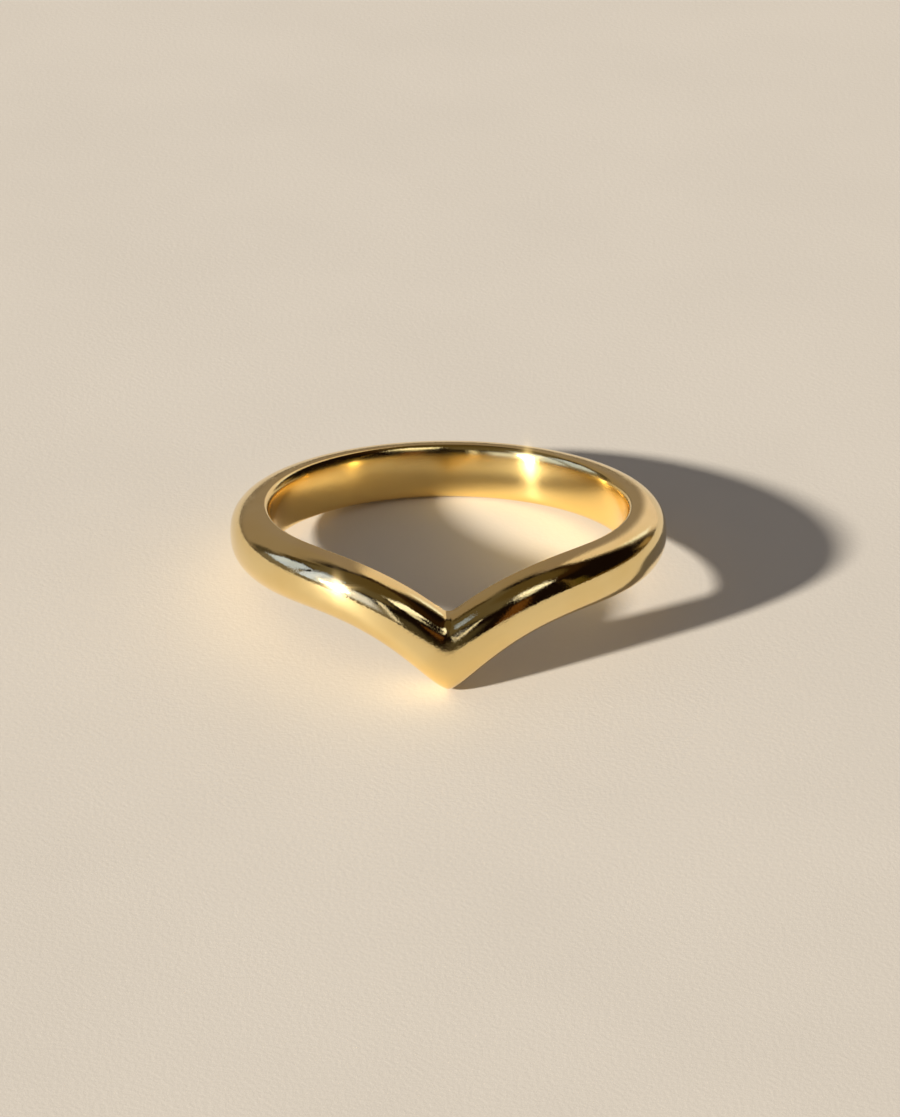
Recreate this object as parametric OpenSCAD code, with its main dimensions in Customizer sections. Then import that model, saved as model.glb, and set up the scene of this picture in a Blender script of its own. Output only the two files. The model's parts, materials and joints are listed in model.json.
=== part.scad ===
// Chevron ring: a plain domed band whose front dips to a point.
// It lies as it rests by itself, on its point and on the back of the hoop, with the point towards -Y.

/* [Finger hole] */
// Diameter of the finger hole
bore_d = 16.5; // [14:0.1:22]

/* [Band] */
// Width of the band, along the finger
band_w = 2.7; // [1.8:0.05:4.5]
// Thickness of the band at the crown of its dome
band_t = 1.95; // [1.2:0.05:2.8]
// Radius between the finger hole and a shoulder, where the dome starts
shoulder_r = 0.4; // [0.2:0.01:0.6]
// Fullness of the dome, where 2 is an ellipse and more is squarer
dome_fullness = 2.5; // [2:0.1:4]

/* [Chevron] */
// How far the point dips below the hoop, before it is rounded
point_drop = 3.25; // [1:0.05:5]
// Length of an arm, along the finger hole from the point to where it has run into the hoop
arm_l = 7.5; // [5:0.1:12]
// Sweep of the arms, where 1 is straight and more is steeper at the point
arm_sweep = 2.9; // [1.2:0.05:4]
// Rounding of the corner above the point
notch_r = 0.18; // [0.05:0.01:0.6]
// Rounding of the tip below it
tip_r = 0.82; // [0.05:0.01:1.2]
// How far the wall behind the point stands back from the finger hole
point_relief = 0.03; // [0.02:0.01:0.1]

/* [Hidden] */

bore_r = bore_d / 2;
half_w = band_w / 2;
wall_half = half_w - shoulder_r;

// Metal that the blank has inside the finger hole, for the bore to cut away
bore_stock = 0.25;
// Turn from the point, in degrees, within which the wall is relieved
RELIEF_TURN = 14;
// Turns round a shoulder's quarter, in degrees
SHOULDER_TURNS = [35, 62];
// Steps round the dome from the shoulder to the crown
DOME_STEPS = 13;
// Sections from the point round to the back, and how much they crowd towards the point
RING_STEPS = 60;
CROWDING = 0.7;
// Halvings of the range in which the resting tilt is found, and that range's top in degrees
TILT_STEPS = 30;
TILT_TOP = 45;

// Superellipse: a cosine or sine that bulges as the dome's fullness grows
function full(x) = sign(x) * pow(abs(x), 2 / dome_fullness);

// Point of the outline at a turn round a shoulder, as depth from the finger hole and height
function shoulder_point(turn) = [shoulder_r * (1 - cos(turn)), wall_half + shoulder_r * sin(turn)];

// Point where the wall ends, at some depth on the line between the wall's stock and the shoulder
function wall_end(depth) =
    let (from = [-bore_stock, wall_half / 2], to = shoulder_point(SHOULDER_TURNS[0]))
    from + (to - from) * (depth - from.x) / (to.x - from.x);

// Point of the dome at a turn from its crown
function dome_point(turn) = [
    shoulder_r + (band_t - shoulder_r) * full(cos(turn)),
    half_w * full(sin(turn))
];

// Half of the band's outline below its middle, from the wall to the crown
function lower_half(wall_depth) = [
    for (p = concat(
        [wall_end(wall_depth)],
        [for (turn = SHOULDER_TURNS) shoulder_point(turn)],
        [for (i = [0 : DOME_STEPS - 1]) dome_point(90 - 90 * i / DOME_STEPS)]
    )) [p.x, -p.y]
];

// Whole outline, from the wall's lower end round the crown to its upper end
function outline(wall_depth) =
    let (lower = lower_half(wall_depth), last = len(lower) - 1)
    concat(lower, [dome_point(0)], [for (i = [last : -1 : 0]) [lower[i].x, -lower[i].y]]);

// Way along the finger hole from the point to a turn
function way(turn) = bore_r * abs(turn) * PI / 180;

// Share of an arm that is left at some way from the point
function arm_left(s) = max(0, 1 - s / arm_l);

// Drop of the band at some way from the point, and its slope there
function drop(s) = point_drop * pow(arm_left(s), arm_sweep);
function slope(s) = point_drop * arm_sweep / arm_l * pow(arm_left(s), arm_sweep - 1);

// Way from the point with the corner there rounded
function rounded(s, r) = sqrt(s * s + r * r);

// Section of the band at a turn from the point: a sloping arm is as wide as the hoop, square to its run
function section(turn) =
    let (
        s = way(turn),
        stretch = sqrt(1 + pow(slope(s), 2)),
        low = drop(rounded(s, tip_r)),
        high = drop(rounded(s, notch_r)),
        wall_depth = abs(turn) < RELIEF_TURN ? point_relief : -bore_stock
    )
    [
        for (p = outline(wall_depth))
        let (share = (p.y / half_w + 1) / 2, r = bore_r + p.x)
        [r * sin(turn), -r * cos(turn), p.y * stretch - low * (1 - share) - high * share]
    ];

// Turn at which a section stands, closest together at the point
function section_turn(i) = let (x = i / RING_STEPS) 180 * x * (1 - CROWDING + CROWDING * abs(x));

sections = [for (i = [1 - RING_STEPS : RING_STEPS]) section(section_turn(i))];
outline_count = len(sections[0]);

// Triangles between two sections next to each other, mirrored on either side of the point
function strip(i) =
    let (next = (i + 1) % len(sections), left = i < RING_STEPS - 1)
    [
        for (j = [0 : outline_count - 1])
        let (
            k = (j + 1) % outline_count,
            a = i * outline_count + j,
            b = i * outline_count + k,
            c = next * outline_count + k,
            d = next * outline_count + j
        )
        each left ? [[a, b, c], [a, c, d]] : [[a, b, d], [b, c, d]]
    ];

// Height and depth of a point of the ring once its point is tipped up by a tilt
function tipped_z(p, tilt) = p.z * cos(tilt) - p.y * sin(tilt);
function tipped_y(p, tilt) = p.y * cos(tilt) + p.z * sin(tilt);

// Lowest height of a section under a tilt
function lowest(points, tilt) = min([for (p = points) tipped_z(p, tilt)]);

// Tilt at which the point and the back of the hoop are equally low
function settle(from, to, steps) =
    let (middle = (from + to) / 2)
    steps == 0 ? middle :
    lowest(section(0), middle) < lowest(section(180), middle)
        ? settle(middle, to, steps - 1)
        : settle(from, middle, steps - 1);

rest_tilt = settle(0, TILT_TOP, TILT_STEPS);
ring_points = [for (s = sections) each s];
rest_ys = [for (p = ring_points) tipped_y(p, rest_tilt)];
rest_y = (min(rest_ys) + max(rest_ys)) / 2;
rest_z = lowest(ring_points, rest_tilt);
bore_l = 2 * (band_w + point_drop + bore_d);

// The ring, laid on its point and its back with the middle of its box over the origin
module band() {
    color("#d9a648")
    translate([0, -rest_y, -rest_z])
    rotate([-rest_tilt, 0, 0])
    difference() {
        polyhedron(points = ring_points, faces = [for (i = [0 : len(sections) - 1]) each strip(i)]);
        cylinder(h = bore_l, r = bore_r, center = true, $fn = 180);
    }
}

band();
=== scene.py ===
# Chevron ring: a plain domed gold band whose front dips to a point, lying on a pale studio floor.
# Everything is in metres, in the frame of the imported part: +Z up, the point of the ring towards -Y.
import json
import math

import bpy
from bpy.props import FloatProperty, FloatVectorProperty, PointerProperty
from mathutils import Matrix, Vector


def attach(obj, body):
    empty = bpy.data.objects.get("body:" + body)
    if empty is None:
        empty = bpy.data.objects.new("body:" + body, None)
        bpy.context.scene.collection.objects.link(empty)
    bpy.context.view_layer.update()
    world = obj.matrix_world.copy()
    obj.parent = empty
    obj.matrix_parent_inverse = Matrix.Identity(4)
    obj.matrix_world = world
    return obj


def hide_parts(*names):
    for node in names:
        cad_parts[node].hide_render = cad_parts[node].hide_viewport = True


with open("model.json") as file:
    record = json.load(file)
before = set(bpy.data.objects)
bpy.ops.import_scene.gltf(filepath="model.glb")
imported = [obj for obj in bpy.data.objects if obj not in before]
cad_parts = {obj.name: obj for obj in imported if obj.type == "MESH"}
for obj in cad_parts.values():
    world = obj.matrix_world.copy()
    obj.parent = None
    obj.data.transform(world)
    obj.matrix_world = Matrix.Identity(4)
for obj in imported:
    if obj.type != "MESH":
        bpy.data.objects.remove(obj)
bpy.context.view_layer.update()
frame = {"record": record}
FINGER_HOLE = frame["record"]["mounts"][0]

bl_info = {
    "name": "Chevron ring",
    "version": (1, 0, 0),
    "blender": (4, 5, 0),
    "location": "3D View > Sidebar > Ring",
    "description": "Models a domed gold chevron ring and the studio that it lies in",
    "category": "Add Mesh",
}

MM = 0.001

# Where the finger hole is in the frame: its radius, its middle and how far its axis leans back
HOLE_RADIUS = FINGER_HOLE["dims"]["r_mm"] * MM
HOLE_MIDDLE = Vector(FINGER_HOLE["pos_m"])
HOLE_LEAN = math.atan2(FINGER_HOLE["axis"][1], FINGER_HOLE["axis"][2])

# Steps of the outline round a dome's quarter and a shoulder, and cuts across the wall of the finger hole
DOME_STEPS = 16
SHOULDER_STEPS = 5
WALL_CUTS = 5
# Turns of the sweep from the point to the back of the hoop, in degrees, with the steps in each
SWEEP = ((2.4, 8), (7.0, 10), (19.6, 14), (31.0, 12), (120.0, 40))
# Distances under which two vertices are one, and the decimals to which places on the outline are told apart
OUTLINE_MERGE = 1e-7
SEAM_MERGE = 1e-6
PLACE_DECIMALS = 7

# Patches and marks on the gold, as values of their node group. Sizes, widths and lengths are in millimetres.
TONE = {"Size": 3.0, "Detail": 2.0, "Low": 0.35, "High": 0.7}
HAZE = {"Size": 1.6, "Detail": 4.0, "Low": 0.42, "High": 0.72}
SCUFFS = {"Size": 0.07, "Detail": 1.0, "Low": 0.42, "High": 0.68}
SWELL = {"Size": 1.3, "Detail": 1.0, "Low": 0.2, "High": 0.8}
FIRST_HAIRLINES = {"Turn": (0.3, 0.5, 0.6), "Width": 0.045, "Length": 1.6, "Share": 0.50}
SECOND_HAIRLINES = {"Turn": (-0.5, 0.2, -0.9), "Width": 0.04, "Length": 1.1, "Share": 0.46}
# Strength of the scuffs where the gold has no haze, when it is 1 in the haziest patches
CLEAR_SCUFFS = 0.4
SWELL_DEPTH = 0.0005 * MM
SCUFF_DEPTH = 0.0017 * MM
HAIRLINE_DEPTH = 0.0002 * MM
# Millimetres outside the finger hole's radius between which the finish inside fades out
INSIDE_FADE = (0.10, 0.30)
# Quarter of a turn, which stretches the glints inside along the finger hole and not round it
GLINT_TURN = 0.25

# Uneven tone and fine tooth of the floor, the same way, and the tone of its darker patches
FLOOR_TONE = {"Size": 14.0, "Detail": 3.0, "Low": 0.3, "High": 0.7}
FLOOR_TOOTH = {"Size": 0.22, "Detail": 3.0, "Low": 0.2, "High": 0.8}
FLOOR_SHADE = 0.97
TOOTH_DEPTH = 0.008 * MM

# Directions of the studio's light are in degrees: azimuth from +Y round towards +X, and elevation.
# Each soft panel has a name, an azimuth, an elevation, a width, a height, a soft edge and a colour.
PANELS = (
    ("Overhead edge", 70, 90, 110, 78, 10, (0.024, 0.011, 0.003)),
    ("Overhead", 180, 90, 720, 52, 8, (0.085, 0.062, 0.026)),
    ("Ceiling by the window", -110, 56, 140, 26, 12, (0.105, 0.087, 0.055)),
    ("Near wall", -168, 8, 28, 30, 12, (0.06, 0.05, 0.032)),
    ("Far wall", -10, 25, 98, 50, 18, (0.28, 0.23, 0.18)),
    ("Far glow", 22, 20, 26, 64, 8, (0.78, 0.66, 0.56)),
    ("Far lamp", 33, 20, 7, 16, 5, (1.0, 1.05, 1.1)),
    ("Far shade", 1, 36, 17, 43, 12, (0.27, 0.22, 0.19)),
    ("Far gap", -60, 16, 18, 18, 6, (0.070, 0.058, 0.038)),
    ("Upper gap", -57, 44, 12, 24, 8, (0.055, 0.040, 0.018)),
    ("Low table", 50, 4, 12, 16, 6, (0.30, 0.21, 0.10)),
    ("Low glow", 84, -2.5, 63, 14, 5, (0.11, 0.066, 0.017)),
    ("First strip", 112, 13, 12, 22, 6, (0.075, 0.055, 0.011)),
    ("Second strip", 116, 21.5, 3, 43, 4, (0.12, 0.078, 0.027)),
    ("Brown curtain", 155.5, 17, 15, 34, 6, (0.11, 0.045, 0.012)),
    ("Top light", 145, 60, 50, 15, 5, (1.30, 1.33, 1.42)),
    ("End of the top light", 152, 49, 18, 10, 5, (0.80, 0.80, 0.80)),
    ("Slot light", -162, 22, 6, 34, 4, (0.88, 0.88, 0.93)),
    ("Window wall", -112, 11.3, 98, 28, 4, (0.17, 0.15, 0.12)),
    ("Window head", -108, 50, 32, 9, 4, (0.27, 0.36, 0.62)),
    ("Left drape", -141, 21.5, 22, 26, 12, (0.78, 0.87, 1.25)),
    ("First pane", -115, 29, 14, 38, 6, (0.70, 0.85, 1.30)),
    ("Second pane", -102, 28, 12, 38, 3, (0.67, 0.85, 1.50)),
    ("Third pane", -81, 27.5, 19.5, 28, 3, (0.52, 0.68, 1.22)),
    ("Last pane", -70, 24.3, 11, 17.6, 4, (0.60, 0.77, 1.30)),
    ("Haze round the key", -125, 21, 9, 42, 6, (1.25, 1.35, 2.0)),
)
ROOM_COLOUR = (0.006, 0.003, 0.002)
# The plain light that matt surfaces get from the room, and the plain backdrop that the camera sees
FILL_COLOUR = (0.178, 0.169, 0.167)
BACKDROP_COLOUR = (0.62, 0.60, 0.57)
# Nearest and farthest that the camera sees
CAMERA_CLIP = (0.005, 20.0)
# Bloom and star that the lens adds round the brightest glints
BLOOM = {"Threshold": 1.8, "Strength": 0.15, "Size": 0.2, "Maximum": 12.0}
STAR = {"Threshold": 3.0, "Strength": 0.03, "Fade": 0.75, "Iterations": 3, "Diagonal": False}

# Settings of a node that spreads a range of values to a mask with soft ends
SOFT_RANGE = {"interpolation_type": "SMOOTHSTEP", "clamp": True}


def length_property(name, description, default, least, most):
    """A length, given in millimetres."""
    return FloatProperty(name=name, description=description, default=default * MM, min=least * MM,
                         max=most * MM, subtype="DISTANCE", unit="LENGTH", precision=5)


def angle_property(name, description, default, least, most):
    """An angle, given in degrees."""
    return FloatProperty(name=name, description=description, default=math.radians(default),
                         min=math.radians(least), max=math.radians(most), subtype="ANGLE", unit="ROTATION")


def share_property(name, description, default):
    """A number from 0 to 1."""
    return FloatProperty(name=name, description=description, default=default, min=0.0, max=1.0,
                         subtype="FACTOR")


def colour_property(name, description, default):
    """A colour."""
    return FloatVectorProperty(name=name, description=description, default=default, min=0.0, max=1.0,
                               subtype="COLOR")


class ChevronRingSizes(bpy.types.PropertyGroup):
    """Sizes of the band, which repeat those of the solid model."""

    band_width: length_property("Band width", "Width of the band, along the finger", 2.7, 1.8, 4.5)
    band_thickness: length_property(
        "Band thickness", "Thickness of the band at the crown of its dome", 1.95, 1.2, 2.8)
    shoulder_radius: length_property(
        "Shoulder radius", "Radius between the finger hole and the dome", 0.4, 0.2, 0.6)
    wall_crown: length_property(
        "Wall crown", "How far the edges of the hole's wall stand back from its middle", 0.065, 0.0, 0.15)
    dome_fullness: FloatProperty(
        name="Dome fullness", description="Shape of the dome, where 2 is an ellipse and more is squarer",
        default=2.5, min=2.0, max=4.0)
    point_drop: length_property(
        "Point drop", "How far the point dips below the hoop, before it is rounded", 3.25, 1.0, 5.0)
    arm_length: length_property(
        "Arm length", "Length of an arm along the finger hole, from the point", 7.5, 5.0, 12.0)
    arm_sweep: FloatProperty(
        name="Arm sweep", description="Sweep of the arms, where 1 is straight and more is steeper",
        default=2.9, min=1.2, max=4.0)
    notch_radius: length_property(
        "Notch rounding", "Rounding of the corner above the point", 0.18, 0.05, 0.6)
    tip_radius: length_property("Tip rounding", "Rounding of the tip below the corner", 0.82, 0.05, 1.2)


class ChevronRingGold(bpy.types.PropertyGroup):
    """Colour and polish of the gold, and the painted bounce light inside its finger hole."""

    gold_colour: colour_property("Gold", "Colour of the polished gold", (0.935, 0.735, 0.36))
    deep_colour: colour_property(
        "Deeper gold", "Colour of the gold where its tone is a little deeper", (0.91, 0.69, 0.31))
    polish_roughness: share_property("Polish", "Roughness of the gold where its polish is best", 0.028)
    haze_roughness: share_property(
        "Haze", "Roughness that wear adds to the polish in its haziest patches", 0.045)
    scuff_roughness: share_property("Scuffs", "Roughness that a fine scuff or hairline adds", 0.12)
    # Deeper, brighter amber inside the finger hole is painted light: it stands in for the light that the
    # gold bounces onto itself there
    inside_painted_bounce_colour: colour_property(
        "Gold inside", "Colour of the gold inside the finger hole", (0.95, 0.71, 0.28))
    inside_roughness: share_property(
        "Finish inside", "Roughness of the finish inside the finger hole, whose lines run round", 0.14)
    inside_grain: share_property(
        "Grain inside", "How much the finish inside the finger hole has a grain", 1.0)


class ChevronRingStudio(bpy.types.PropertyGroup):
    """Floor, light and camera of the studio."""

    floor_colour: colour_property("Floor", "Colour of the floor", (0.80, 0.75, 0.68))
    floor_size: length_property("Floor size", "Side of the square floor", 3000, 500, 10000)
    key_strength: FloatProperty(
        name="Key light", description="Strength of the key light", default=6.2, min=0.0, max=50.0)
    key_colour: colour_property("Key colour", "Colour of the key light", (1.0, 0.93, 0.82))
    key_azimuth: angle_property(
        "Key azimuth", "Where the key light stands, from +Y round towards +X", -124.5, -180, 180)
    key_elevation: angle_property(
        "Key elevation", "Height of the key light above the horizon", 21.0, 0, 90)
    key_spread: angle_property(
        "Key spread", "Angle that the key light covers, which softens its shadows", 4.0, 0, 90)
    camera_place: FloatVectorProperty(
        name="Camera", description="Where the camera stands",
        default=(0.0777 * MM, -173.867 * MM, 101.328 * MM), subtype="TRANSLATION", unit="LENGTH")
    camera_pitch: angle_property(
        "Camera pitch", "How far the camera looks down from the horizon", 29.877, 0, 90)
    camera_lens: FloatProperty(
        name="Lens", description="Focal length of the camera, in millimetres",
        default=137.85, min=20.0, max=400.0)


def add_node(tree, kind, place, settings=None, inputs=None):
    """Adds a node to a tree at a place. Each of its inputs gets a value, or the output that feeds it."""
    node = tree.nodes.new(kind)
    node.location = place
    for name, value in (settings or {}).items():
        setattr(node, name, value)
    for name, value in (inputs or {}).items():
        if isinstance(value, bpy.types.NodeSocket):
            tree.links.new(value, node.inputs[name])
        else:
            node.inputs[name].default_value = value
    return node


def add_math(tree, operation, place, *inputs):
    """Adds a math node with its inputs in order, and gives its result."""
    node = add_node(tree, "ShaderNodeMath", place, {"operation": operation}, dict(enumerate(inputs)))
    return node.outputs["Value"]


def add_vector_math(tree, operation, place, *inputs):
    """Adds a vector math node with its inputs in order, and gives the vector that results."""
    node = add_node(tree, "ShaderNodeVectorMath", place, {"operation": operation}, dict(enumerate(inputs)))
    return node.outputs["Vector"]


def add_mix(tree, kind, place, factor, first, second, label=""):
    """Adds a mix of two values of a kind, and gives its result."""
    node = add_node(tree, "ShaderNodeMix", place, {"data_type": kind, "label": label},
                    {"Factor": factor, "A": first, "B": second})
    return node.outputs["Result"]


def add_range(tree, place, value, low, high):
    """Adds a mask that runs softly from 0 at the low value to 1 at the high one, and gives it."""
    node = add_node(tree, "ShaderNodeMapRange", place, SOFT_RANGE,
                    {"Value": value, "From Min": low, "From Max": high})
    return node.outputs["Result"]


def add_group(tree, group, place, inputs):
    """Places a node group in a tree, and gives its outputs."""
    return add_node(tree, "ShaderNodeGroup", place, {"node_tree": group}, inputs).outputs


def new_group(name, inputs, outputs):
    """Makes a node group, and gives its tree, what comes in and where its results go.

    An input is a number with its usual value, or a vector where that is None. A result is a number.
    """
    tree = bpy.data.node_groups.new(name, "ShaderNodeTree")
    for label, value in inputs.items():
        kind = "NodeSocketVector" if value is None else "NodeSocketFloat"
        socket = tree.interface.new_socket(name=label, in_out="INPUT", socket_type=kind)
        if value is not None:
            socket.default_value = value
    for label in outputs:
        tree.interface.new_socket(name=label, in_out="OUTPUT", socket_type="NodeSocketFloat")
    start = add_node(tree, "NodeGroupInput", (-800, 0))
    end = add_node(tree, "NodeGroupOutput", (800, 0))
    return tree, start.outputs, end.inputs


def mottle_group():
    """Soft uneven patches of some size, as a mask from 0 to 1."""
    tree, given, results = new_group(
        "Mottle", {"Vector": None, "Size": 1.0, "Detail": 3.0, "Low": 0.35, "High": 0.65}, ["Mask"])
    scale = add_math(tree, "DIVIDE", (-560, -120), 1.0, given["Size"])
    noise = add_node(tree, "ShaderNodeTexNoise", (-320, 0), {"noise_dimensions": "3D"},
                     {"Vector": given["Vector"], "Scale": scale, "Detail": given["Detail"],
                      "Roughness": 0.55})
    mask = add_range(tree, (0, 0), noise.outputs["Fac"], given["Low"], given["High"])
    tree.links.new(mask, results["Mask"])
    return tree


def hairline_group():
    """Thin scratches that run one way, as a mask from 0 to 1."""
    tree, given, results = new_group(
        "Hairlines", {"Vector": None, "Turn": None, "Width": 0.03, "Length": 2.0, "Share": 0.3}, ["Mask"])
    turned = add_node(tree, "ShaderNodeVectorRotate", (-600, 0), {"rotation_type": "EULER_XYZ"},
                      {"Vector": given["Vector"], "Rotation": given["Turn"]})
    along = add_math(tree, "DIVIDE", (-600, -200), 1.0, given["Length"])
    across = add_math(tree, "DIVIDE", (-600, -360), 1.0, given["Width"])
    scales = add_node(tree, "ShaderNodeCombineXYZ", (-420, -240), None,
                      {"X": along, "Y": across, "Z": across})
    stretched = add_vector_math(
        tree, "MULTIPLY", (-240, 0), turned.outputs["Vector"], scales.outputs["Vector"])
    noise = add_node(tree, "ShaderNodeTexNoise", (-60, 0), {"noise_dimensions": "3D"},
                     {"Vector": stretched, "Scale": 1.0, "Detail": 2.0, "Roughness": 0.6})
    # A larger share lets lower values of the noise make a scratch
    limit = add_math(tree, "MULTIPLY_ADD", (120, -200), given["Share"], -0.3, 0.75)
    mask = add_range(tree, (320, 0), noise.outputs["Fac"], limit, 0.85)
    tree.links.new(mask, results["Mask"])
    return tree


def bearings_group():
    """The azimuth and the elevation of a direction, in degrees."""
    tree, given, results = new_group("Bearings", {"Direction": None}, ["Azimuth", "Elevation"])
    parts = add_node(tree, "ShaderNodeSeparateXYZ", (-500, 0), None, {"Vector": given["Direction"]}).outputs
    side = add_math(tree, "ARCTAN2", (-250, 150), parts["X"], parts["Y"])
    rise = add_math(tree, "ARCSINE", (-250, -150), parts["Z"])
    tree.links.new(add_math(tree, "DEGREES", (0, 150), side), results["Azimuth"])
    tree.links.new(add_math(tree, "DEGREES", (0, -150), rise), results["Elevation"])
    return tree


def panel_group():
    """A soft rectangle of light round a place on the sky, as a mask from 0 to 1, with angles in degrees."""
    tree, given, results = new_group(
        "Soft panel",
        {"Azimuth": 0.0, "Elevation": 0.0, "Place": None, "Half size": None, "Edge": 5.0}, ["Mask"])
    here = add_node(tree, "ShaderNodeCombineXYZ", (-600, 100), None,
                    {"X": given["Azimuth"], "Y": given["Elevation"]})
    offset = add_vector_math(tree, "SUBTRACT", (-420, 100), here.outputs["Vector"], given["Place"])
    wrapped = add_vector_math(tree, "WRAP", (-240, 100), offset, (180, 180, 180), (-180, -180, -180))
    away = add_vector_math(tree, "ABSOLUTE", (-60, 100), wrapped)
    beyond = add_vector_math(tree, "SUBTRACT", (120, 100), away, given["Half size"])
    parts = add_node(tree, "ShaderNodeSeparateXYZ", (300, 100), None, {"Vector": beyond}).outputs
    outer = add_math(tree, "MULTIPLY", (120, -200), given["Edge"], 0.5)
    inner = add_math(tree, "MULTIPLY", (120, -360), given["Edge"], -0.5)
    across = add_range(tree, (480, 150), parts["X"], outer, inner)
    upright = add_range(tree, (480, -150), parts["Y"], outer, inner)
    tree.links.new(add_math(tree, "MULTIPLY", (660, 0), across, upright), results["Mask"])
    return tree


def effect(name, build):
    """The node group of an effect, built when it is first asked for."""
    return bpy.data.node_groups.get(name) or build()


def add_patches(tree, place, where, values):
    """Places soft patches on a surface, and gives their mask."""
    return add_group(tree, effect("Mottle", mottle_group), place, {"Vector": where, **values})["Mask"]


def add_hairlines(tree, place, where, values):
    """Places thin scratches on a surface, and gives their mask."""
    return add_group(tree, effect("Hairlines", hairline_group), place, {"Vector": where, **values})["Mask"]


def new_material(name):
    """A material with an empty node tree, and that tree."""
    material = bpy.data.materials.new(name)
    material.use_nodes = True
    material.node_tree.nodes.clear()
    return material, material.node_tree


def millimetres(tree, place):
    """Object coordinates of a surface, in millimetres."""
    where = add_node(tree, "ShaderNodeTexCoord", place)
    scaled = add_node(tree, "ShaderNodeVectorMath", (place[0] + 200, place[1]), {"operation": "SCALE"},
                      {0: where.outputs["Object"], "Scale": 1 / MM})
    return scaled.outputs["Vector"]


def inside_mask(tree, where):
    """Mask of the finger hole's wall, by the distance from the hole's axis."""
    centred = add_node(tree, "ShaderNodeMapping", (-1000, 900), {"vector_type": "TEXTURE"},
                       {"Vector": where, "Location": HOLE_MIDDLE / MM, "Rotation": (-HOLE_LEAN, 0, 0)})
    flat = add_vector_math(tree, "MULTIPLY", (-800, 900), centred.outputs["Vector"], (1, 1, 0))
    radius = add_node(tree, "ShaderNodeVectorMath", (-600, 900), {"operation": "LENGTH"}, {0: flat})
    near, far = (HOLE_RADIUS / MM + edge for edge in INSIDE_FADE)
    return add_range(tree, (-400, 900), radius.outputs["Value"], far, near)


def polished_gold(gold):
    """Hand polished yellow gold with a little haze, hairlines and fine scuffs, and a satin finger hole,
    whose deeper amber is painted bounce light.
    """
    material, tree = new_material("polished yellow gold")
    where = millimetres(tree, (-1400, 0))
    inside = inside_mask(tree, where)

    tone = add_patches(tree, (-900, 400), where, TONE)
    outside = add_mix(tree, "RGBA", (-300, 400), tone, (*gold.gold_colour, 1.0), (*gold.deep_colour, 1.0))
    # Inside the finger hole the colour turns to a painted deeper amber, which stands in for the bounce light
    # between the gold's walls
    colour = add_mix(tree, "RGBA", (-100, 400), inside, outside, (*gold.inside_painted_bounce_colour, 1.0))

    haze = add_patches(tree, (-900, 150), where, HAZE)
    first = add_hairlines(tree, (-900, -100), where, FIRST_HAIRLINES)
    second = add_hairlines(tree, (-900, -350), where, SECOND_HAIRLINES)
    lines = add_math(tree, "MAXIMUM", (-650, -200), first, second)
    worn = add_math(tree, "MULTIPLY_ADD", (-650, -450), haze, 1 - CLEAR_SCUFFS, CLEAR_SCUFFS)
    scuffs = add_math(tree, "MULTIPLY", (-500, -450), worn, add_patches(tree, (-900, -550), where, SCUFFS))
    marks = add_math(tree, "MAXIMUM", (-500, -250), lines, scuffs)
    hazed = add_math(tree, "MULTIPLY_ADD", (-450, 150), haze, gold.haze_roughness, gold.polish_roughness)
    marked = add_math(tree, "MULTIPLY_ADD", (-250, 100), marks, gold.scuff_roughness, hazed)
    roughness = add_mix(tree, "FLOAT", (-100, 150), inside, marked, gold.inside_roughness)
    grain = add_math(tree, "MULTIPLY", (-100, 650), inside, gold.inside_grain)
    round_hole = add_node(tree, "ShaderNodeTangent", (0, -300), {"direction_type": "RADIAL", "axis": "Z"})

    swell = add_patches(tree, (-900, -750), where, SWELL)
    swollen = add_node(tree, "ShaderNodeBump", (-500, -500), None,
                       {"Height": swell, "Distance": SWELL_DEPTH})
    scuffed = add_node(tree, "ShaderNodeBump", (-300, -500), None,
                       {"Height": scuffs, "Distance": SCUFF_DEPTH, "Normal": swollen.outputs["Normal"]})
    scratched = add_node(tree, "ShaderNodeBump", (-100, -500), {"invert": True},
                         {"Height": lines, "Distance": HAIRLINE_DEPTH, "Normal": scuffed.outputs["Normal"]})

    shader = add_node(tree, "ShaderNodeBsdfPrincipled", (200, 200), None, {
        "Base Color": colour, "Metallic": 1.0, "Roughness": roughness,
        "Normal": scratched.outputs["Normal"], "Anisotropic": grain,
        "Anisotropic Rotation": GLINT_TURN, "Tangent": round_hole.outputs["Tangent"]})
    add_node(tree, "ShaderNodeOutputMaterial", (500, 200), None, {"Surface": shader.outputs["BSDF"]})
    return material


def pale_floor(studio):
    """Matt pale floor with a faint tooth."""
    material, tree = new_material("pale floor")
    where = millimetres(tree, (-1000, 0))
    shade = (FLOOR_SHADE * part for part in studio.floor_colour)
    tone = add_patches(tree, (-600, 200), where, FLOOR_TONE)
    colour = add_mix(tree, "RGBA", (-300, 200), tone, (*studio.floor_colour, 1.0), (*shade, 1.0))
    tooth = add_patches(tree, (-600, -100), where, FLOOR_TOOTH)
    bump = add_node(tree, "ShaderNodeBump", (-300, -100), None,
                    {"Height": tooth, "Distance": TOOTH_DEPTH, "Strength": 0.5})
    shader = add_node(tree, "ShaderNodeBsdfPrincipled", (0, 100), None, {
        "Base Color": colour, "Roughness": 0.65, "Specular IOR Level": 0.15,
        "Normal": bump.outputs["Normal"]})
    add_node(tree, "ShaderNodeOutputMaterial", (300, 100), None, {"Surface": shader.outputs["BSDF"]})
    return material


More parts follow.
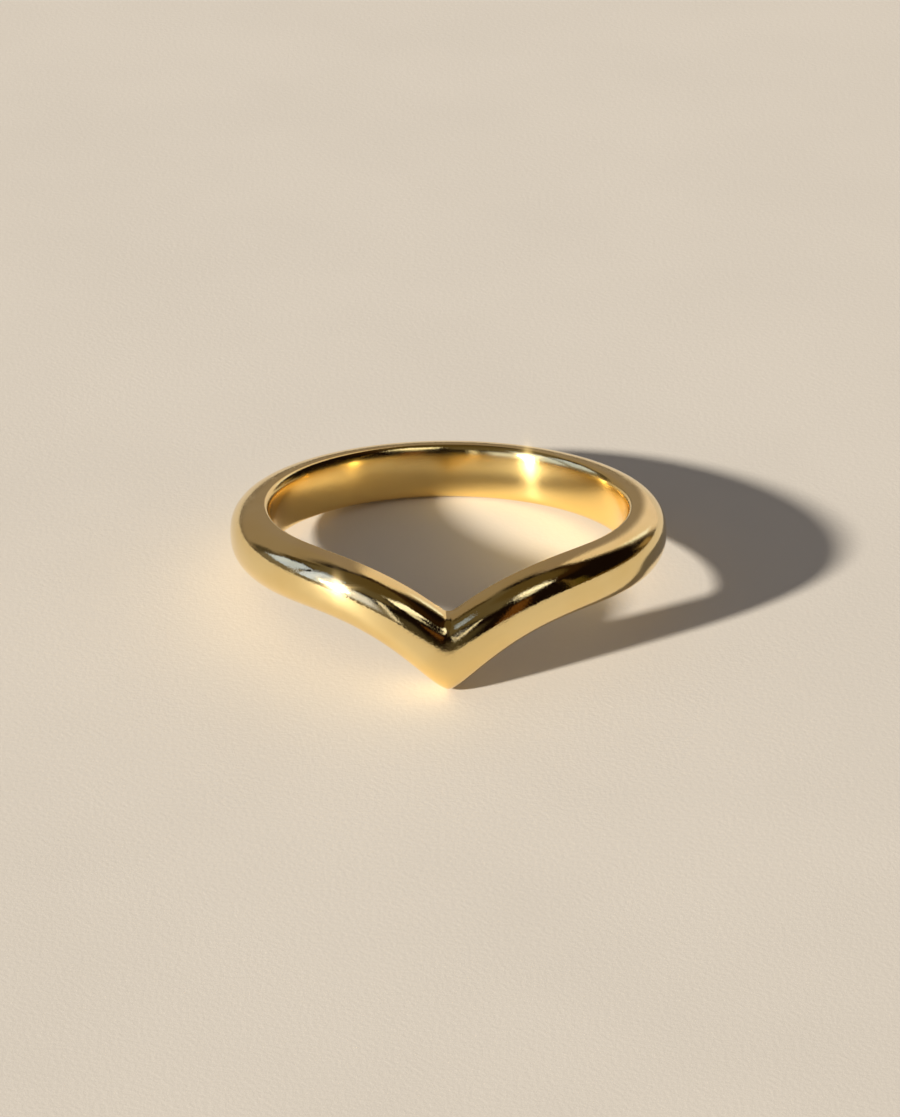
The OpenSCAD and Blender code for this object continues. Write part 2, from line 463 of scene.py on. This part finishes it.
def panel_light(tree):
    """The soft panels laid over the dark room one by one, as a colour by direction."""
    where = add_node(tree, "ShaderNodeTexCoord", (-1800, 0))
    bearings = add_group(tree, effect("Bearings", bearings_group), (-1600, 0),
                         {"Direction": where.outputs["Generated"]})
    panel = effect("Soft panel", panel_group)
    lit = (*ROOM_COLOUR, 1.0)
    for row, (name, azimuth, elevation, width, height, edge, colour) in enumerate(PANELS):
        mask = add_group(tree, panel, (-1200, -250 * row), {
            "Azimuth": bearings["Azimuth"], "Elevation": bearings["Elevation"],
            "Place": (azimuth, elevation, 0), "Half size": (width / 2, height / 2, 0), "Edge": edge})
        lit = add_mix(tree, "RGBA", (-800 + 160 * row, 0), mask["Mask"], lit, (*colour, 1.0), name)
    return lit


def studio_light():
    """Soft panels, which only reflections see, in a plain fill light with a plain backdrop."""
    world = bpy.data.worlds.new("studio light")
    bpy.context.scene.world = world
    world.use_nodes = True
    tree = world.node_tree
    tree.nodes.clear()
    ray = add_node(tree, "ShaderNodeLightPath", (3100, 500)).outputs
    shown = add_mix(tree, "RGBA", (3300, 200), ray["Is Camera Ray"],
                    (*FILL_COLOUR, 1.0), (*BACKDROP_COLOUR, 1.0))
    plain = add_node(tree, "ShaderNodeBackground", (3500, 200), None, {"Color": shown})
    reflected = add_node(tree, "ShaderNodeBackground", (3500, 0), None, {"Color": panel_light(tree)})
    both = add_node(tree, "ShaderNodeMixShader", (3700, 200), None, {
        "Fac": ray["Is Glossy Ray"], 1: plain.outputs["Background"], 2: reflected.outputs["Background"]})
    add_node(tree, "ShaderNodeOutputWorld", (3900, 200), None, {"Surface": both.outputs["Shader"]})


def sparkle(scene):
    """A small bloom and a faint star round the brightest glints, as a lens gives them."""
    scene.use_nodes = True
    tree = scene.node_tree
    tree.nodes.clear()
    layers = add_node(tree, "CompositorNodeRLayers", (-600, 0))
    bloom = add_node(tree, "CompositorNodeGlare", (-300, 0), {"glare_type": "BLOOM"},
                     {"Image": layers.outputs["Image"], **BLOOM})
    star = add_node(tree, "CompositorNodeGlare", (0, 0), {"glare_type": "SIMPLE_STAR"},
                    {"Image": bloom.outputs["Image"], **STAR})
    add_node(tree, "CompositorNodeComposite", (300, 0), None, {"Image": star.outputs["Image"]})


def key_direction(studio):
    """Unit vector from the ring towards the key light."""
    flat = math.cos(studio.key_elevation)
    return Vector((math.sin(studio.key_azimuth) * flat,
                   math.cos(studio.key_azimuth) * flat,
                   math.sin(studio.key_elevation)))


def start_piece(name, add_primitive):
    """Adds a primitive with nothing else selected, and leaves it in edit mode in the row frame."""
    bpy.ops.object.select_all(action="DESELECT")
    add_primitive()
    piece = bpy.context.object
    piece.name = name
    piece.data.name = name
    bpy.ops.object.transform_apply(location=True, rotation=True, scale=True)
    bpy.ops.object.mode_set(mode="EDIT")
    bpy.context.tool_settings.mesh_select_mode = (True, False, False)
    return piece


def pick(piece, test):
    """Selects the vertices whose place passes a test, and nothing else."""
    bpy.ops.object.mode_set(mode="OBJECT")
    for part in (*piece.data.edges, *piece.data.polygons):
        part.select = False
    for vertex in piece.data.vertices:
        vertex.select = test(vertex.co)
    bpy.ops.object.mode_set(mode="EDIT")


def apply_modifier(piece, kind, settings):
    """Adds a modifier with its settings and applies it."""
    bpy.ops.object.modifier_add(type=kind)
    modifier = piece.modifiers[-1]
    for name, value in settings.items():
        setattr(modifier, name, value)
    bpy.ops.object.modifier_apply(modifier=modifier.name)


class RingShape:
    """The band's course: how each section is shaped and how far it drops, by its way from the point."""

    def __init__(self, sizes):
        self.sizes = sizes

    def arm_left(self, way):
        """Share of an arm that is left at some way from the point."""
        return max(0.0, 1.0 - way / self.sizes.arm_length)

    def drop(self, way):
        """Drop of the band at some way from the point."""
        return self.sizes.point_drop * self.arm_left(way) ** self.sizes.arm_sweep

    def slope(self, way):
        """Slope of an arm there."""
        steepness = self.sizes.point_drop * self.sizes.arm_sweep / self.sizes.arm_length
        return steepness * self.arm_left(way) ** (self.sizes.arm_sweep - 1.0)

    def section(self, turn):
        """Height of a section's middle and its stretch, at a turn from the point."""
        way = HOLE_RADIUS * turn
        low = self.drop(math.hypot(way, self.sizes.tip_radius))
        high = self.drop(math.hypot(way, self.sizes.notch_radius))
        stretch = math.hypot(1.0, self.slope(way)) - (high - low) / self.sizes.band_width
        return -(low + high) / 2, stretch


def crown_wall(band, sizes):
    """Sets the wall and the shoulders back towards their edges, so that the wall is a little crowned."""
    wall_half = sizes.band_width / 2 - sizes.shoulder_radius
    bpy.ops.object.mode_set(mode="OBJECT")
    places = {(round(vertex.co.y, PLACE_DECIMALS), round(abs(vertex.co.z), PLACE_DECIMALS))
              for vertex in band.data.vertices}
    bpy.ops.object.mode_set(mode="EDIT")
    for y, height in sorted(places):
        depth = -HOLE_RADIUS - y
        if not -OUTLINE_MERGE < depth < sizes.shoulder_radius - OUTLINE_MERGE or height < OUTLINE_MERGE:
            continue
        share = (height / wall_half) ** 2 * (1.0 - depth / sizes.shoulder_radius)
        pick(band, lambda co: abs(co.y - y) < OUTLINE_MERGE and abs(abs(co.z) - height) < OUTLINE_MERGE)
        bpy.ops.transform.translate(value=(0, -sizes.wall_crown * share, 0))


def draw_outline(band, sizes):
    """Shapes a plane into the band's outline: a dome outside, a flat wall and two small shoulders inside."""
    crown = HOLE_RADIUS + sizes.band_thickness
    depth = sizes.band_thickness - sizes.shoulder_radius
    # The corners are bevelled into a superellipse as high as it is deep, then scaled to the band's width
    bpy.ops.transform.resize(value=(1, 1, 2 * depth / sizes.band_thickness), center_override=(0, 0, 0))
    pick(band, lambda co: co.y < -crown + OUTLINE_MERGE)
    bpy.ops.mesh.bevel(affect="VERTICES", offset_type="ABSOLUTE", offset=depth, segments=DOME_STEPS,
                       profile=2 ** (-2 / sizes.dome_fullness), clamp_overlap=False)
    bpy.ops.mesh.select_all(action="SELECT")
    bpy.ops.transform.resize(value=(1, 1, sizes.band_width / 2 / depth), center_override=(0, 0, 0))
    pick(band, lambda co: co.y > -HOLE_RADIUS - OUTLINE_MERGE)
    bpy.ops.mesh.bevel(affect="VERTICES", offset_type="ABSOLUTE", offset=sizes.shoulder_radius,
                       segments=SHOULDER_STEPS, profile=0.5, clamp_overlap=False)
    bpy.ops.mesh.select_all(action="SELECT")
    bpy.ops.mesh.remove_doubles(threshold=OUTLINE_MERGE)
    pick(band, lambda co: co.y > -HOLE_RADIUS - OUTLINE_MERGE)
    bpy.ops.mesh.subdivide(number_cuts=WALL_CUTS)
    crown_wall(band, sizes)
    bpy.ops.mesh.select_all(action="SELECT")
    bpy.ops.mesh.delete(type="ONLY_FACE")
    bpy.ops.mesh.select_all(action="SELECT")


def sweep_outline(shape):
    """Spins the outline step by step from the point to the back, each new section shaped as it is made."""
    turn = 0.0
    middle = 0.0
    stretch = 1.0
    # The step of 0 shapes the section at the point, which is there already
    steps = [0.0] + [math.radians(span / count) for span, count in SWEEP for _ in range(count)]
    for step in steps:
        if step:
            bpy.ops.mesh.spin(steps=1, angle=step, center=(0, 0, 0), axis=(0, 0, 1))
            turn += step
        new_middle, new_stretch = shape.section(turn)
        bpy.ops.transform.resize(value=(1, 1, new_stretch / stretch), center_override=(0, 0, middle))
        bpy.ops.transform.translate(value=(0, 0, new_middle - middle))
        middle = new_middle
        stretch = new_stretch


class RING_OT_band(bpy.types.Operator):
    """Models the chevron band in polished gold, in place of the solid model's band"""

    bl_idname = "ring.band"
    bl_label = "Chevron band"
    bl_options = {"REGISTER", "UNDO"}

    def execute(self, context):
        sizes = context.scene.chevron_ring_sizes
        middle = HOLE_RADIUS + sizes.band_thickness / 2
        band = start_piece("chevron_band", lambda: bpy.ops.mesh.primitive_plane_add(
            size=sizes.band_thickness, location=(0, -middle, 0), rotation=(0, math.pi / 2, 0)))
        draw_outline(band, sizes)
        sweep_outline(RingShape(sizes))
        bpy.ops.object.mode_set(mode="OBJECT")
        apply_modifier(band, "MIRROR", {"merge_threshold": SEAM_MERGE})
        apply_modifier(band, "SUBSURF", {"levels": 1, "render_levels": 1})
        bpy.ops.object.mode_set(mode="EDIT")
        bpy.ops.mesh.select_all(action="SELECT")
        bpy.ops.mesh.normals_make_consistent(inside=False)
        bpy.ops.transform.rotate(value=HOLE_LEAN, orient_axis="X", center_override=(0, 0, 0))
        bpy.ops.transform.translate(value=HOLE_MIDDLE)
        bpy.ops.object.mode_set(mode="OBJECT")
        bpy.ops.object.shade_smooth()
        band.data.materials.append(polished_gold(context.scene.chevron_ring_gold))
        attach(band, "root")
        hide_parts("band")
        return {"FINISHED"}


class RING_OT_studio(bpy.types.Operator):
    """Sets up the pale floor, the key light, the soft panels and the camera"""

    bl_idname = "ring.studio"
    bl_label = "Studio"
    bl_options = {"REGISTER", "UNDO"}

    def execute(self, context):
        studio = context.scene.chevron_ring_studio
        bpy.ops.object.select_all(action="DESELECT")
        bpy.ops.mesh.primitive_plane_add(size=studio.floor_size, location=(0, 0, 0))
        floor = context.object
        floor.name = "pale_floor"
        floor.data.materials.append(pale_floor(studio))

        bpy.ops.object.light_add(type="SUN", location=key_direction(studio))
        key = context.object
        key.name = "key_light"
        key.rotation_euler = key_direction(studio).to_track_quat("Z", "Y").to_euler()
        key.data.energy = studio.key_strength
        key.data.color = studio.key_colour
        key.data.angle = studio.key_spread
        studio_light()

        bpy.ops.object.camera_add(location=studio.camera_place,
                                  rotation=(math.pi / 2 - studio.camera_pitch, 0, 0))
        camera = context.object
        camera.name = "studio_camera"
        camera.data.lens = studio.camera_lens
        camera.data.clip_start, camera.data.clip_end = CAMERA_CLIP
        context.scene.camera = camera
        context.scene.view_settings.view_transform = "Standard"
        sparkle(context.scene)
        return {"FINISHED"}


class RING_PT_sidebar(bpy.types.Panel):
    """The ring's pieces and their sizes, in the sidebar of the 3D view"""

    bl_idname = "RING_PT_sidebar"
    bl_label = "Chevron ring"
    bl_space_type = "VIEW_3D"
    bl_region_type = "UI"
    bl_category = "Ring"

    def draw(self, context):
        for group, operator in (("sizes", "ring.band"), ("gold", None), ("studio", "ring.studio")):
            values = getattr(context.scene, "chevron_ring_" + group)
            box = self.layout.box()
            for name in values.__annotations__:
                box.prop(values, name)
            if operator:
                box.operator(operator)


GROUPS = {"sizes": ChevronRingSizes, "gold": ChevronRingGold, "studio": ChevronRingStudio}
CLASSES = (*GROUPS.values(), RING_OT_band, RING_OT_studio, RING_PT_sidebar)


def register():
    for cls in CLASSES:
        bpy.utils.register_class(cls)
    for name, group in GROUPS.items():
        setattr(bpy.types.Scene, "chevron_ring_" + name, PointerProperty(type=group))


def unregister():
    for name in GROUPS:
        delattr(bpy.types.Scene, "chevron_ring_" + name)
    for cls in reversed(CLASSES):
        bpy.utils.unregister_class(cls)


def main():
    """Makes the ring and the studio."""
    register()
    bpy.ops.ring.band()
    bpy.ops.ring.studio()
    bpy.context.view_layer.update()


if __name__ == "__main__":
    main()
